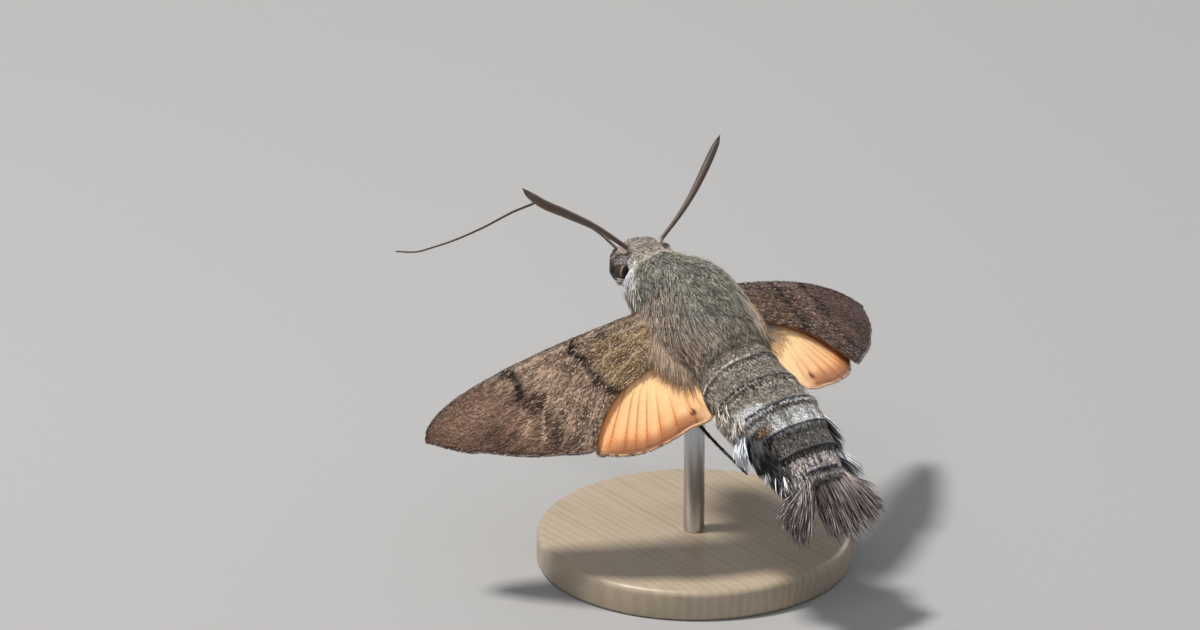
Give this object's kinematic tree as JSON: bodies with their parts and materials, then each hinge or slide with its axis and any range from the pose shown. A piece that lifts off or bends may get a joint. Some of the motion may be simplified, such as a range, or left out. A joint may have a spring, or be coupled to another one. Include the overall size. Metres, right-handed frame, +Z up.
{
  "type": "hummingbird hawk moth model",
  "caption": "Life-size hovering hawk moth with spread wings, long bent proboscis and tail fan, held by a rod over a flat round display base.",
  "frame": {"origin": "centre of the stand base's underside, on the surface the model stands on", "axes": "+Z up out of the base; the moth heads towards -Y, pitched 23 degrees head up; its left side faces +X"},
  "size_m": [0.0414, 0.0519, 0.0298],
  "materials": {
    "thorax_fur": "long grey-green hair, matt with a soft sheen",
    "head_fur": "short grey-buff hair, matt",
    "abdomen_fur": "flat grey-brown scales with black and white marks, satin",
    "tail_fur": "long dark brown bristle-like scales with pale glints",
    "forewing": "grey-brown wing scales with dark wavy lines, matt",
    "hindwing": "orange wing scales with a brown margin, matt",
    "eye": "dark brown compound eye, glossy",
    "feeler": "dark brown antenna, satin",
    "cuticle": "near-black leg and tongue, satin",
    "stand_wood": "pale maple, oiled",
    "stand_steel": "drawn steel rod"
  },
  "bodies": {
    "root": {"thorax": "thorax_fur", "neck": "head_fur", "head": "head_fur", "eye_left": "eye", "eye_right": "eye", "palp_left": "tail_fur", "palp_right": "tail_fur", "antenna_left": "feeler", "antenna_right": "feeler", "proboscis_base": "cuticle", "proboscis_tip": "cuticle", "abdomen_1": "abdomen_fur", "abdomen_2": "abdomen_fur", "abdomen_3": "abdomen_fur", "abdomen_4": "abdomen_fur", "tail_fan_left": "tail_fur", "tail_fan_right": "tail_fur", "forewing_left": "forewing", "forewing_right": "forewing", "hindwing_left": "hindwing", "hindwing_right": "hindwing", "leg_fore_left": "cuticle", "leg_fore_right": "cuticle", "leg_mid_left": "cuticle", "leg_mid_right": "cuticle", "leg_hind_left": "cuticle", "leg_hind_right": "cuticle", "stand_base": "stand_wood", "stand_rod": "stand_steel"}
  },
  "joints": []
}
